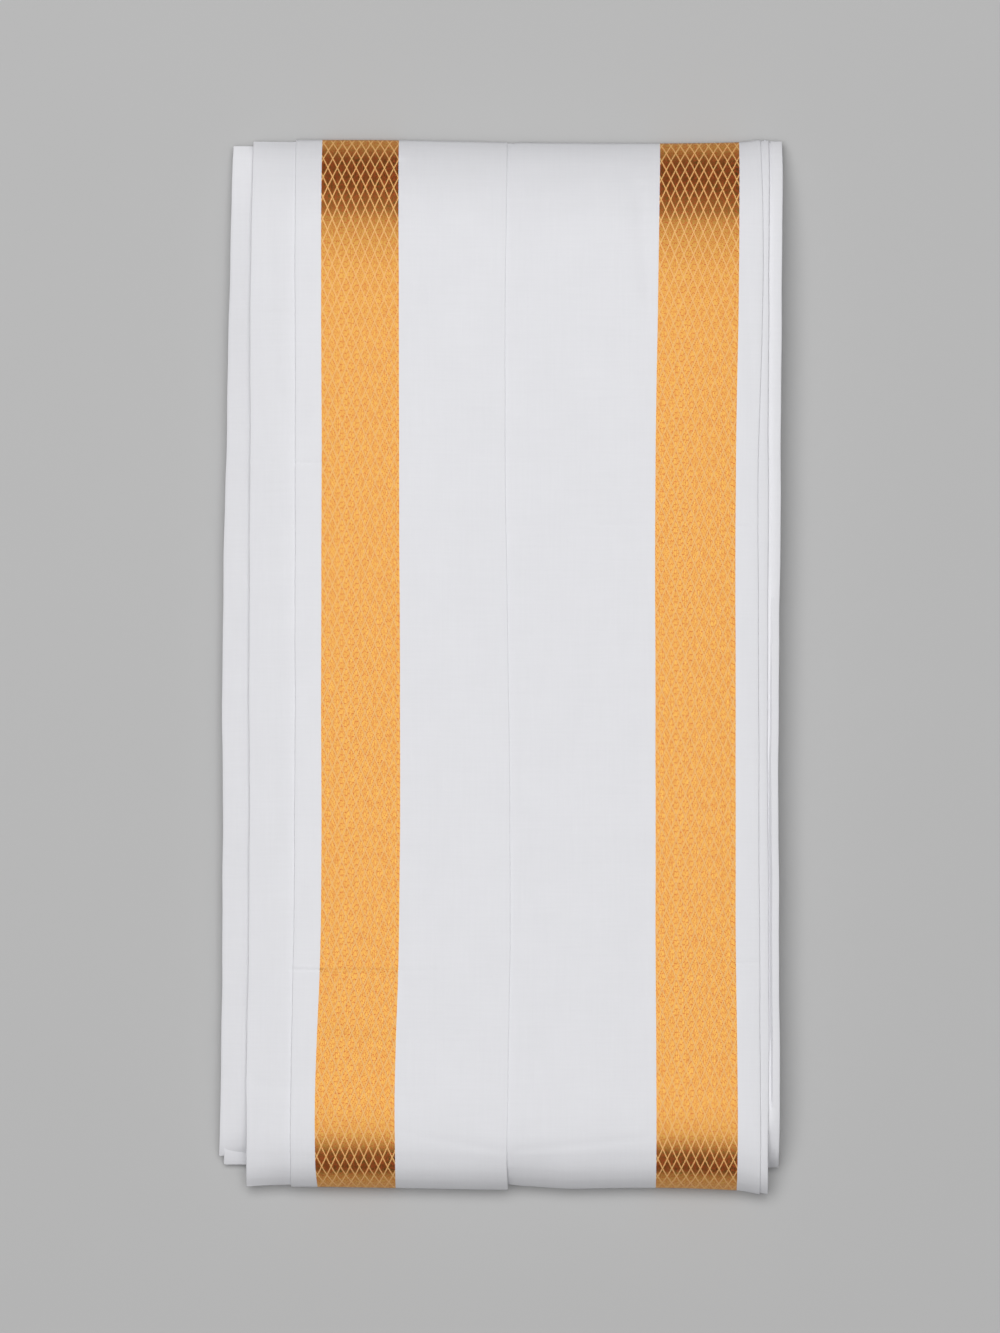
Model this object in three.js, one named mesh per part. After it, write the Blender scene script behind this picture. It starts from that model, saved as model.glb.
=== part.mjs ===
// Angavastram: a white cotton shoulder cloth with two woven gold zari borders, folded to a
// flat packet. The cloth is first folded in across its width, so that a left and a right flap
// meet on top, and the strip is then folded twice along its length into four segments.
// The top segment's flaps curl under at the fold end (+Y), wrap round the whole stack at the
// wrap end (-Y) and run back underneath to their cut ends.
// Millimetres, +Z up, the packet rests on z = 0 with its middle over the origin.

import * as THREE from 'three';

// ---- driving sizes ---------------------------------------------------------------------

const ply = 1.2;                 // wall that stands for one folded layer of the cloth
const seam = 0.3;                // clearance between neighbouring pieces
const layer = ply + seam;        // one layer lies this much deeper than the next

const foldNoseHeight = 6.0;      // height of the foremost line of the fold at +Y
const wrapNoseHeight = 12.0;      // and of the fold at -Y
const curlRadius = 3.0;          // the flaps turn under at +Y round this radius
const curlTuck = 12;             // and end this far inside the fold
const wrapRadius = 6.5;          // length of the lower half of the round end at -Y
const cutEndSetback = 4;         // the lowest layers' cut ends lie this far inside +Y

const flapOverlap = 14;          // the left flap lies this far over the right one
const dipWidth = 6;              // the right flap sinks under the left one over this width
const backTuck = 5;              // the back layer reaches this far in under each folded edge

const edgeRounding = [           // how an edge thins out to a soft line
  { inset: 0, pinch: 0.42 },
  { inset: 0.6, pinch: 0.12 },
  { inset: 1.4, pinch: 0 },
];

// ---- tables ----------------------------------------------------------------------------

/** Turns a header and its rows into one record for each row. */
function table(header, ...rows) {
  return rows.map((row) => Object.fromEntries(header.map((name, i) => [name, row[i]])));
}

// x of the long edges at sections along the packet, from the fold end to the wrap end.
const leftEdges = table(
  ['y', 'lowerLeft', 'backLeft', 'leftFold', 'leftZariOuter', 'leftZariInner', 'leftFlapEdge'],
  [250, -126.2, -116.8, -96.7, -84.2, -47.9, 3.5],
  [173, -128.3, -118.2, -96.7, -84.2, -47.6, 2.6],
  [95, -130.1, -118.5, -96.4, -84.0, -47.5, 2.4],
  [-16, -131.5, -118.7, -96.7, -84.2, -47.0, 4.2],
  [-125, -131.6, -119.0, -97.1, -84.4, -47.5, 4.7],
  [-200, -132.1, -119.9, -98.8, -87.0, -49.5, 3.8],
  [-235, -133.6, -120.1, -99.0, -87.2, -49.5, 3.2],
  [-250, -133.6, -120.1, -99.1, -86.3, -49.4, 4.0],
);
const rightEdges = table(
  ['y', 'rightZariInner', 'rightZariOuter', 'rightFold', 'backRight', 'lowerRight'],
  [250, 75.9, 113.4, 123.7, 127.2, 133.6],
  [173, 74.3, 112.3, 123.8, 127.0, 133.1],
  [95, 73.1, 111.0, 121.8, 126.6, 132.4],
  [-16, 73.1, 110.9, 121.8, 126.4, 131.6],
  [-125, 73.2, 111.0, 122.4, 126.7, 131.5],
  [-200, 73.6, 111.9, 122.6, 126.9, 132.1],
  [-250, 73.6, 111.9, 123.0, 126.6, 132.4],
);

// The outer surface from side to side: where it ends at +Y and -Y, and its greatest height
// near each of them. The fold end is the bulkier one.
const spans = table(
  ['x', 'foldEnd', 'wrapEnd', 'foldCrown', 'wrapCrown'],
  [-120, 250.0, -247.2, 26.6, 26.2],
  [-97, 249.8, -246.4, 32.4, 31.4],
  [-48, 249.6, -247.0, 34.0, 32.8],
  [4, 248.6, -247.8, 34.2, 33.0],
  [74, 248.1, -246.9, 34.2, 33.0],
  [112, 248.6, -248.1, 33.9, 32.7],
  [120, 249.4, -249.4, 33.1, 31.9],
  [127, 250.3, -250.9, 31.6, 30.4],
);
const crownShift = { from: -120, to: 170 };   // y over which one height turns into the other

// How the surface climbs from each end, as a share of the way up to the crown.
const rises = table(
  ['inset', 'foldEnd', 'wrapEnd'],
  [0, 0, 0],
  [2, 0.1, 0.175],
  [5, 0.22, 0.385],
  [10, 0.378, 0.615],
  [17, 0.546, 0.805],
  [22, 0.645, 0.89],
  [28, 0.742, 0.95],
  [38, 0.857, 0.993],
  [54, 0.948, 1],
  [70, 0.985, 1],
  [88, 1, 1],
);

// The second segment shows beside the first: its ends, and its height at both of its edges.
const lowerSides = {
  left: { foldEnd: 246.7, wrapEnd: -232.0, innerHeight: 20.4, outerHeight: 15.0 },
  right: { foldEnd: 249.0, wrapEnd: -237.6, innerHeight: 25.4, outerHeight: 23.4 },
};
const lowerNoseHeight = 6.6;
const lowerLipReach = 4.3;       // the layers under it show this far past its wrap end

/** Smooth value of one column of a table at a place between its rows. */
function lookUp(rows, key, column, place) {
  const ordered = rows[0][key] < rows[rows.length - 1][key] ? rows : [...rows].reverse();
  const last = ordered.length - 1;
  const clamped = THREE.MathUtils.clamp(place, ordered[0][key], ordered[last][key]);
  let i = 0;
  while (i < last - 1 && clamped > ordered[i + 1][key]) i += 1;
  const a = ordered[Math.max(i - 1, 0)];
  const b = ordered[i];
  const c = ordered[i + 1];
  const d = ordered[Math.min(i + 2, last)];
  const width = c[key] - b[key];
  const t = (clamped - b[key]) / width;
  const slopeB = (c[column] - a[column]) / (c[key] - a[key]) * width;
  const slopeC = (d[column] - b[column]) / (d[key] - b[key]) * width;
  return b[column] * (1 + 2 * t) * (1 - t) ** 2 + slopeB * t * (1 - t) ** 2
    + c[column] * t * t * (3 - 2 * t) - slopeC * t * t * (1 - t);
}

/** x of a long edge at a section of the packet. */
function edgeX(name, y) {
  return lookUp(name in leftEdges[0] ? leftEdges : rightEdges, 'y', name, y);
}

// ---- the outer surface -----------------------------------------------------------------

/** Share of the climb to the crown that is reached at y, and the nose it climbs from. */
function climb(y, foldEnd, wrapEnd) {
  const fromFold = lookUp(rises, 'inset', 'foldEnd', foldEnd - y);
  const fromWrap = lookUp(rises, 'inset', 'wrapEnd', y - wrapEnd);
  return fromFold < fromWrap ? ['fold', fromFold] : ['wrap', fromWrap];
}

/** Greatest height of the outer surface at one x, at a section of the packet. */
function crownHeight(x, y) {
  const towardsFold = THREE.MathUtils.smoothstep(y, crownShift.from, crownShift.to);
  return THREE.MathUtils.lerp(lookUp(spans, 'x', 'wrapCrown', x),
    lookUp(spans, 'x', 'foldCrown', x), towardsFold);
}

/** Height of the packet's outer surface. */
function topHeight(x, y) {
  const [end, share] = climb(y, lookUp(spans, 'x', 'foldEnd', x), lookUp(spans, 'x', 'wrapEnd', x));
  const nose = end === 'fold' ? foldNoseHeight : wrapNoseHeight;
  return nose + (crownHeight(x, y) - nose) * share;
}

/** Height of the second segment's upper surface, which shows at the left and right. */
function lowerHeight(side, x, y) {
  const { foldEnd, wrapEnd, innerHeight, outerHeight } = lowerSides[side];
  const inner = edgeX(side === 'left' ? 'backLeft' : 'backRight', y);
  const outer = edgeX(side === 'left' ? 'lowerLeft' : 'lowerRight', y);
  const outward = THREE.MathUtils.clamp((x - inner) / (outer - inner), 0, 1);
  const crown = THREE.MathUtils.lerp(innerHeight, outerHeight, outward);
  return lowerNoseHeight + (crown - lowerNoseHeight) * climb(y, foldEnd, wrapEnd)[1];
}

/** How much longer a vertical cut through a layer is than the layer's own thickness. */
function slant(heightAt, y) {
  const step = 1;
  const slope = (heightAt(y + step) - heightAt(y - step)) / (2 * step);
  return Math.hypot(1, slope);
}

// ---- stations along the wrapped cloth --------------------------------------------------

const endInsets = rises.map((row) => row.inset);
const middle = [140, 95, 50, 5, -40, -85, -130];
const arcSteps = 4;

/** The outer surface's path in the YZ plane at one x, with a name for each stretch. */
function wrapPath(x) {
  const foldEnd = lookUp(spans, 'x', 'foldEnd', x);
  const wrapEnd = lookUp(spans, 'x', 'wrapEnd', x);
  const points = [];
  const add = (stretch, y, z) => points.push({ stretch, y, z });

  const curlFloor = foldNoseHeight - curlRadius;
  add('tuck', foldEnd - curlTuck, curlFloor);
  add('tuck', foldEnd - curlRadius - 3, curlFloor);
  for (let i = 0; i < arcSteps; i += 1) {
    const turn = (i / arcSteps) * (Math.PI / 2);
    add('curl', foldEnd - curlRadius * (1 - Math.sin(turn)), foldNoseHeight - curlRadius * Math.cos(turn));
  }
  for (const inset of endInsets) add('top', foldEnd - inset, topHeight(x, foldEnd - inset));
  for (const y of middle) add('top', y, topHeight(x, y));
  for (const inset of [...endInsets].reverse()) {
    add(inset < 10 ? 'wrap' : 'top', wrapEnd + inset, topHeight(x, wrapEnd + inset));
  }
  for (let i = 1; i <= arcSteps; i += 1) {
    const turn = (i / arcSteps) * (Math.PI / 2);
    add('wrap', wrapEnd + wrapRadius * (1 - Math.cos(turn)), wrapNoseHeight * (1 - Math.sin(turn)));
  }
  for (const y of [wrapEnd + 12.5, -120, 0, 120]) add('under', y, 0);
  add('under', foldEnd - cutEndSetback, 0);
  return points;
}

/** Point on the wrapped cloth at one station, a depth inside the outer surface. */
function onWrap(path, station, x, depth) {
  const before = path[Math.max(station - 1, 0)];
  const after = path[Math.min(station + 1, path.length - 1)];
  const length = Math.hypot(after.y - before.y, after.z - before.z);
  const inwardY = -(after.z - before.z) / length;
  const inwardZ = (after.y - before.y) / length;
  const here = path[station];
  return new THREE.Vector3(x, here.y + inwardY * depth, here.z + inwardZ * depth);
}

// ---- solids ----------------------------------------------------------------------------

/** Mesh of indexed triangles, turned so that its faces point out. */
function solid(name, material, points, triangles) {
  let volume = 0;
  for (const [a, b, c] of triangles) {
    volume += points[a].dot(new THREE.Vector3().crossVectors(points[b], points[c]));
  }
  const facing = volume > 0 ? triangles : triangles.map(([a, b, c]) => [a, c, b]);
  const geometry = new THREE.BufferGeometry().setFromPoints(points);
  geometry.setIndex(facing.flat());
  geometry.computeVertexNormals();
  const mesh = new THREE.Mesh(geometry, material);
  mesh.name = name;
  return mesh;
}

/** Closed sheet between an outer and an inner grid of points. */
function sheet(name, material, outer, inner) {
  const rows = outer.length;
  const columns = outer[0].length;
  const index = (face, row, column) => (face * rows + row) * columns + column;
  const triangles = [];
  const quad = (a, b, c, d) => triangles.push([a, b, c], [a, c, d]);
  for (let r = 0; r < rows - 1; r += 1) {
    for (let c = 0; c < columns - 1; c += 1) {
      quad(index(0, r, c), index(0, r, c + 1), index(0, r + 1, c + 1), index(0, r + 1, c));
      quad(index(1, r, c), index(1, r + 1, c), index(1, r + 1, c + 1), index(1, r, c + 1));
    }
    quad(index(0, r, 0), index(0, r + 1, 0), index(1, r + 1, 0), index(1, r, 0));
    const end = columns - 1;
    quad(index(0, r, end), index(1, r, end), index(1, r + 1, end), index(0, r + 1, end));
  }
  for (let c = 0; c < columns - 1; c += 1) {
    quad(index(0, 0, c), index(1, 0, c), index(1, 0, c + 1), index(0, 0, c + 1));
    const end = rows - 1;
    quad(index(0, end, c), index(0, end, c + 1), index(1, end, c + 1), index(1, end, c));
  }
  return solid(name, material, [...outer.flat(), ...inner.flat()], triangles);
}

/** Columns from x0 to x1, with softly thinned edges where they are folds or selvedges. */
function columnsBetween(x0, x1, { between = 1, softStart = false, softEnd = false } = {}) {
  const starts = softStart ? edgeRounding : [{ inset: 0, pinch: 0 }];
  const ends = softEnd ? edgeRounding : [{ inset: 0, pinch: 0 }];
  const first = x0 + starts[starts.length - 1].inset;
  const last = x1 - ends[ends.length - 1].inset;
  const inner = [];
  for (let i = 1; i < between; i += 1) {
    inner.push({ x: THREE.MathUtils.lerp(first, last, i / between), pinch: 0 });
  }
  return [
    ...starts.map(({ inset, pinch }) => ({ x: x0 + inset, pinch })),
    ...inner,
    ...[...ends].reverse().map(({ inset, pinch }) => ({ x: x1 - inset, pinch })),
  ];
}

/** A ribbon of the wrapped cloth. columnsAt gives x, pinch and depth at each station. */
function ribbon(name, material, columnsAt, { fromCurl = true } = {}) {
  const reference = wrapPath(0);
  const firstStation = fromCurl ? 0 : reference.findIndex((point) => point.stretch === 'top');
  const outer = [];
  const inner = [];
  for (let station = firstStation; station < reference.length; station += 1) {
    const { stretch, y } = reference[station];
    const columns = columnsAt(y, stretch);
    const paths = columns.map(({ x }) => wrapPath(x));
    const depthOf = (column) => column.depth ?? 0;
    outer.push(columns.map((column, i) => (
      onWrap(paths[i], station, column.x, depthOf(column) + column.pinch))));
    inner.push(columns.map((column, i) => (
      onWrap(paths[i], station, column.x, depthOf(column) + ply - column.pinch))));
  }
  return sheet(name, material, outer, inner);
}

// ---- materials -------------------------------------------------------------------------

const cotton = new THREE.MeshStandardMaterial({ color: 0xe6e6ea, roughness: 0.85, metalness: 0 });
const shadedCotton = new THREE.MeshStandardMaterial({ color: 0xdcdce2, roughness: 0.9, metalness: 0 });
const zari = new THREE.MeshStandardMaterial({ color: 0xf0b060, roughness: 0.42, metalness: 0.75 });

// ---- the two flaps and their woven borders ---------------------------------------------

const halfSeam = seam / 2;

function leftFlap() {
  const fold = ribbon('left_flap_fold', cotton, (y) => (
    columnsBetween(edgeX('leftFold', y), edgeX('leftZariOuter', y) - halfSeam, { softStart: true })));
  const border = ribbon('left_zari_border', zari, (y) => (
    columnsBetween(edgeX('leftZariOuter', y) + halfSeam, edgeX('leftZariInner', y) - halfSeam,
      { between: 2 })));
  const field = ribbon('left_flap_field', cotton, (y) => (
    columnsBetween(edgeX('leftZariInner', y) + halfSeam, edgeX('leftFlapEdge', y),
      { between: 2, softEnd: true })));
  return [fold, border, field];
}

/** The right flap sinks under the left one on top, and lies beside it everywhere else. */
function rightFlapInnerColumns(y, stretch) {
  const edge = edgeX('leftFlapEdge', y) + seam;
  const tucked = stretch === 'top' && Math.abs(y) < 225;
  const sunk = stretch === 'top' && Math.abs(y) < 236;
  return [
    { x: tucked ? edge - flapOverlap : edge, pinch: 0, depth: sunk ? layer : 0 },
    { x: edge + 0.6, pinch: 0, depth: sunk ? layer : 0 },
    { x: edge + dipWidth, pinch: 0, depth: 0 },
  ];
}

function rightFlap() {
  const field = ribbon('right_flap_field', cotton, (y, stretch) => {
    const rest = columnsBetween(edgeX('leftFlapEdge', y) + seam + dipWidth,
      edgeX('rightZariInner', y) - halfSeam, { between: 2 });
    return [...rightFlapInnerColumns(y, stretch), ...rest.slice(1)];
  });
  const border = ribbon('right_zari_border', zari, (y) => (
    columnsBetween(edgeX('rightZariInner', y) + halfSeam, edgeX('rightZariOuter', y) - halfSeam,
      { between: 2 })));
  const fold = ribbon('right_flap_fold', cotton, (y) => (
    columnsBetween(edgeX('rightZariOuter', y) + halfSeam, edgeX('rightFold', y), { softEnd: true })));
  return [field, border, fold];
}

// ---- the back layer, which shows as a strip outside each flap ---------------------------

/** One layer down on top, and level with the flaps underneath, where it lies on the ground. */
function backLayer(name, outerEdge, flapFold, inward) {
  return ribbon(name, cotton, (y, stretch) => {
    const tucked = stretch === 'top';
    const depth = stretch === 'under' ? 0 : layer;
    const outer = edgeX(outerEdge, y);
    const inner = edgeX(flapFold, y) + inward * (tucked ? backTuck : -seam);
    const columns = inward > 0
      ? columnsBetween(outer, inner, { softStart: true })
      : columnsBetween(inner, outer, { softEnd: true });
    return columns.map((column) => ({ ...column, depth }));
  }, { fromCurl: false });
}

// ---- the second segment, which shows outside the back layer ----------------------------

const lowerEndSteps = [0, 2, 6, 12, 20, 32, 48];

function secondSegment(name, side) {
  const { foldEnd, wrapEnd } = lowerSides[side];
  const stations = [
    ...lowerEndSteps.map((step) => foldEnd - step),
    ...middle,
    ...[...lowerEndSteps].reverse().map((step) => wrapEnd + step),
  ];
  const outer = [];
  const inner = [];
  for (const y of stations) {
    const columns = side === 'left'
      ? columnsBetween(edgeX('lowerLeft', y), edgeX('backLeft', y) - seam, { softStart: true })
      : columnsBetween(edgeX('backRight', y) + seam, edgeX('lowerRight', y), { softEnd: true });
    const cut = slant((place) => lowerHeight(side, columns[0].x, place), y);
    const at = (x, depth) => new THREE.Vector3(x, y, lowerHeight(side, x, y) - depth * cut);
    outer.push(columns.map(({ x, pinch }) => at(x, pinch)));
    inner.push(columns.map(({ x, pinch }) => at(x, ply - pinch)));
  }
  return sheet(name, shadedCotton, outer, inner);
}

// ---- the hidden layers -----------------------------------------------------------------

const grooveDepth = 1.3;         // how far the hidden folds' edges stand apart from each other
const sideGrooves = 4;           // edges that show below the second segment
const upperGrooves = 2;          // edges that show between it and the back layer
const wallInset = 1.0;           // the hidden edges stay this far inside the layer above
const footHeight = 0.9;          // the lowest edges turn up this far from the ground
const wrapCapInset = 6.2;
const bedding = 0.15;            // extra room under the layers that lie on the hidden ones
const foldCapInset = 4.6;
const tonguePocket = 27.5;       // length of the room for the cut ends at +Y
const curlPocket = curlTuck + 1.2;

/** Lower surface of the hidden layers, above the flaps that run underneath. */
function hiddenFloor(fromWrap, fromFold) {
  if (fromWrap < 14) return 2 * layer;
  if (fromFold < curlPocket) return 3 * layer;
  if (fromFold < tonguePocket) return 2 * layer;
  return layer;
}

/** Edges of stacked folds up a side, from one height to another, as x and z. */
function foldedEdges(count, xAt, inward, low, high) {
  const points = [];
  for (let i = 0; i < count; i += 1) {
    const at = (share) => THREE.MathUtils.lerp(low, high, (i + share) / count);
    points.push([xAt, at(0.12)], [xAt, at(0.5)], [xAt + inward * grooveDepth, at(0.72)]);
  }
  return points;
}

/** One cross-section of the hidden layers, in parts that run clockwise seen from -Y. */
function hiddenRing({ upperY, lowerY, floor }) {
  const upper = (x, depth) => {
    const cut = slant((place) => topHeight(x, place), upperY);
    return [x, upperY, topHeight(x, upperY) - (depth + bedding) * cut];
  };
  const ledge = (side, x) => {
    const cut = slant((place) => lowerHeight(side, x, place), lowerY);
    return lowerHeight(side, x, lowerY) - (layer + bedding) * cut;
  };
  const sideFloor = Math.min(floor, 2 * layer) + seam;
  const side = (name, inward) => {
    const back = edgeX(name === 'left' ? 'backLeft' : 'backRight', upperY);
    const outer = edgeX(name === 'left' ? 'lowerLeft' : 'lowerRight', lowerY) + inward * wallInset;
    const inner = back + inward * wallInset;
    const wing = [
      [outer + inward * 2.4, lowerY, footHeight],
      ...foldedEdges(sideGrooves, outer, inward, footHeight, ledge(name, outer))
        .map(([x, z]) => [x, lowerY, z]),
      [outer, lowerY, ledge(name, outer)],
      [inner - inward * 0.4, lowerY, ledge(name, inner)],
    ];
    const under = upper(inner, 2 * layer);
    const wall = [
      ...foldedEdges(upperGrooves, inner, inward, ledge(name, inner), under[2])
        .map(([x, z]) => [x, upperY, z]),
      under,
    ];
    return {
      wing,
      wall,
      heel: [back - inward * 1.5, lowerY, footHeight],
      corner: [back - inward * seam, upperY, sideFloor],
    };
  };
  const left = side('left', 1);
  const right = side('right', -1);
  const leftTuck = edgeX('leftFold', upperY) + backTuck + seam;
  const rightTuck = edgeX('rightFold', upperY) - backTuck - seam;
  const flap = edgeX('leftFlapEdge', upperY);
  const centre = [
    ...left.wall,
    upper(leftTuck, 2 * layer),
    upper(leftTuck + seam, layer),
    upper(-60, layer),
    upper(flap - flapOverlap - seam, layer),
    upper(flap - flapOverlap, 2 * layer),
    upper(flap + 1.6, 2 * layer),
    upper(flap + dipWidth + 1, layer),
    upper(45, layer),
    upper(90, layer),
    upper(rightTuck - seam, layer),
    upper(rightTuck, 2 * layer),
    ...[...right.wall].reverse(),
  ];
  const bottom = [
    right.corner,
    [edgeX('rightFold', upperY) + 0.5, upperY, floor],
    [edgeX('leftFold', upperY) - 0.5, upperY, floor],
    left.corner,
  ];
  return {
    leftWing: left.wing,
    centre,
    rightWing: [...right.wing].reverse(),
    rightHeel: [right.heel],
    bottom,
    leftHeel: [left.heel],
  };
}

/** Closes one end of the hidden layers: the middle, both wings and what joins them. */
function endFaces(ring) {
  let count = 0;
  const places = {};
  for (const [name, points] of Object.entries(ring)) {
    places[name] = points.map((point, i) => ({ index: count + i, x: point[0], z: point[2] }));
    count += points.length;
  }
  const { leftWing, centre, rightWing, rightHeel, bottom, leftHeel } = places;
  const fill = (points) => {
    const outline = points.map(({ x, z }) => new THREE.Vector2(x, z));
    return THREE.ShapeUtils.triangulateShape(outline, []).map((face) => {
      const turnsRight = THREE.ShapeUtils.area(face.map((i) => outline[i])) < 0;
      const [a, b, c] = face.map((i) => points[i].index);
      return turnsRight ? [a, b, c] : [a, c, b];
    });
  };
  const join = (...points) => {
    const [a, b, c, d] = points.map(({ index }) => index);
    return [[a, b, c], [a, c, d]];
  };
  return [
    ...fill([...leftHeel, ...leftWing]),
    ...fill([...centre, ...bottom]),
    ...fill([...rightWing, ...rightHeel]),
    ...join(leftHeel[0], leftWing[leftWing.length - 1], centre[0], bottom[bottom.length - 1]),
    ...join(centre[centre.length - 1], rightWing[0], rightHeel[0], bottom[0]),
  ];
}

function hiddenLayers() {
  const wrapInsets = [wrapCapInset, 7.4, 10.2, 13.4, 15.2, 20, 28, 40, 54];
  const foldInsets = [54, 40, tonguePocket + 1, tonguePocket - 0.6, 20, curlPocket + 0.8,
    curlPocket - 0.4, 8, foldCapInset];
  const wrapEnd = lookUp(spans, 'x', 'wrapEnd', -60);
  const foldEnd = lookUp(spans, 'x', 'foldEnd', 60);
  const lowerWrapEnd = lowerSides.left.wrapEnd - lowerLipReach;
  const lowerFoldEnd = lowerSides.left.foldEnd - 3.2;
  const stations = [
    ...wrapInsets.map((inset) => ({
      upperY: wrapEnd + inset,
      lowerY: lowerWrapEnd + inset - wrapCapInset,
      floor: hiddenFloor(inset, Infinity),
    })),
    ...[...middle].reverse().map((y) => ({ upperY: y, lowerY: y, floor: layer })),
    ...foldInsets.map((inset) => ({
      upperY: foldEnd - inset,
      lowerY: lowerFoldEnd - inset + foldCapInset,
      floor: hiddenFloor(Infinity, inset),
    })),
  ];
  const rings = stations.map(hiddenRing);
  const outlines = rings.map((ring) => Object.values(ring).flat());
  const size = outlines[0].length;
  const triangles = [];
  for (let r = 0; r < rings.length - 1; r += 1) {
    for (let i = 0; i < size; i += 1) {
      const next = (i + 1) % size;
      const [a, b, c, d] = [r * size + i, r * size + next, (r + 1) * size + next, (r + 1) * size + i];
      triangles.push([a, b, c], [a, c, d]);
    }
  }
  const lastStart = (rings.length - 1) * size;
  triangles.push(...endFaces(rings[0]).map(([a, b, c]) => [a, c, b]));
  triangles.push(...endFaces(rings[rings.length - 1]).map((face) => face.map((i) => lastStart + i)));
  const points = outlines.flat().map(([x, y, z]) => new THREE.Vector3(x, y, z));
  return solid('hidden_layers', shadedCotton, points, triangles);
}

/** Cut ends of the two lowest segments, which show under the fold at +Y. */
function cutEnds() {
  const outer = [];
  const inner = [];
  for (const inset of [tonguePocket - 1.2, 16, cutEndSetback - 1]) {
    const row = [-112, -60, 0, 60, 118].map((x) => {
      const y = lookUp(spans, 'x', 'foldEnd', x) - inset;
      return new THREE.Vector3(x, y, 2 * layer - seam);
    });
    outer.push(row);
    inner.push(row.map(({ x, y, z }) => new THREE.Vector3(x, y, z - ply)));
  }
  return sheet('cut_ends', shadedCotton, outer, inner);
}

// ---- the folded cloth ------------------------------------------------------------------

const angavastram = new THREE.Group();
angavastram.add(
  ...leftFlap(),
  ...rightFlap(),
  backLayer('back_layer_left', 'backLeft', 'leftFold', 1),
  backLayer('back_layer_right', 'backRight', 'rightFold', -1),
  secondSegment('second_segment_left', 'left'),
  secondSegment('second_segment_right', 'right'),
  hiddenLayers(),
  cutEnds(),
);

export default angavastram;
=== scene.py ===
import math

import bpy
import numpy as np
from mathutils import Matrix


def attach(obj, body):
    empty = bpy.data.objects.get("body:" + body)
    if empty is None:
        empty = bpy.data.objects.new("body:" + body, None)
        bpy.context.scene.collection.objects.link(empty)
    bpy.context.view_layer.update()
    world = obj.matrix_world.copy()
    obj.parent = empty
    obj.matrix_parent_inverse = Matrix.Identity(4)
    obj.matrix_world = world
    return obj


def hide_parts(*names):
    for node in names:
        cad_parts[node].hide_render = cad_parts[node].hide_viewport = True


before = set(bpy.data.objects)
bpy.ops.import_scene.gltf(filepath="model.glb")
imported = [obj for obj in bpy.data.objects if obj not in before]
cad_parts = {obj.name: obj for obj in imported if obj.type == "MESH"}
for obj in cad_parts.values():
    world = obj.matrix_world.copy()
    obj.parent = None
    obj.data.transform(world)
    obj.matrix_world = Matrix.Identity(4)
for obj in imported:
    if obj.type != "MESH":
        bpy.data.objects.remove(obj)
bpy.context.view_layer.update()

# A folded angavastram: white cotton with two gold zari borders, lying flat.
# The cloth is folded in across its width, so that a left and a right flap meet on top, and then
# twice along its length. Every visible layer is a thin shell on the surface of its CAD solid,
# except the second segment at the right, which lies higher, nearly level with the back layer.
# Lengths are in millimetres until the meshes are made; +Y is the fold end, -Y the wrap end.

MM = 0.001

# ---- sizes shared with the CAD solids ----------------------------------------------------

LAYER = 1.5               # one layer lies this much deeper than the next
FOLD_NOSE = 6.0           # height of the foremost line at the fold end
WRAP_NOSE = 12.0          # and at the wrap end
CURL_RADIUS = 3.0
CURL_TUCK = 12.0
WRAP_RADIUS = 6.5
CUT_SETBACK = 4.0
FLAP_OVERLAP = 14.0
LOWER_NOSE = 6.6

# ---- sizes of the cloth itself -----------------------------------------------------------

PLY = 0.42                # thickness of a visible layer
FIRST = 0.25              # depth of the outermost layer's middle
STEP_DOWN = 0.62          # the right flap lies this much deeper under the left one
BACK_STEP = 1.08          # and the back layer under both
RIGHT_BACK_STEP = 0.86    # the right flap's fold is pressed flatter
ROLL = 0.3                # radius of a folded edge, at the cloth's middle
TIGHT_ROLL = 0.19         # and of the right flap's
GRID = 1.4                # width of a mesh cell across the cloth
NOTCH = 1.9               # step between the two flaps' ends at -Y


def table(header, *rows):
    """Turns a header and its rows into one array for each column."""
    return {name: np.array([row[i] for row in rows], float) for i, name in enumerate(header.split())}


# x of the long edges at sections from the fold end to the wrap end
EDGES = table(
    "y lowerLeft backLeft leftFold leftOuter leftInner flapEdge",
    [250, -126.2, -116.8, -96.7, -84.2, -47.9, 3.5],
    [173, -128.3, -118.2, -96.7, -84.2, -47.6, 2.6],
    [95, -130.1, -118.5, -96.4, -84.0, -47.5, 2.4],
    [-16, -131.5, -118.7, -96.7, -84.2, -47.0, 4.2],
    [-125, -131.6, -119.0, -97.1, -84.4, -47.5, 4.7],
    [-200, -132.1, -119.9, -98.8, -87.0, -49.5, 3.8],
    [-235, -133.6, -120.1, -99.0, -87.2, -49.5, 3.2],
    [-250, -133.6, -120.1, -99.1, -86.3, -49.4, 4.0],
)
RIGHT_EDGES = table(
    "y rightInner rightOuter rightFold backRight lowerRight",
    [250, 75.9, 113.4, 123.7, 127.2, 133.6],
    [173, 74.3, 112.3, 123.8, 127.0, 133.1],
    [95, 73.1, 111.0, 121.8, 126.6, 132.4],
    [-16, 73.1, 110.9, 121.8, 126.4, 131.6],
    [-125, 73.2, 111.0, 122.4, 126.7, 131.5],
    [-200, 73.6, 111.9, 122.6, 126.9, 132.1],
    [-250, 73.6, 111.9, 123.0, 126.6, 132.4],
)
SPANS = table(
    "x foldEnd wrapEnd foldCrown wrapCrown",
    [-120, 250.0, -247.2, 26.6, 26.2],
    [-97, 249.8, -246.4, 32.4, 31.4],
    [-48, 249.6, -247.0, 34.0, 32.8],
    [4, 248.6, -247.8, 34.2, 33.0],
    [74, 248.1, -246.9, 34.2, 33.0],
    [112, 248.6, -248.1, 33.9, 32.7],
    [120, 249.4, -249.4, 33.1, 31.9],
    [127, 250.3, -250.9, 31.6, 30.4],
)
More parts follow.
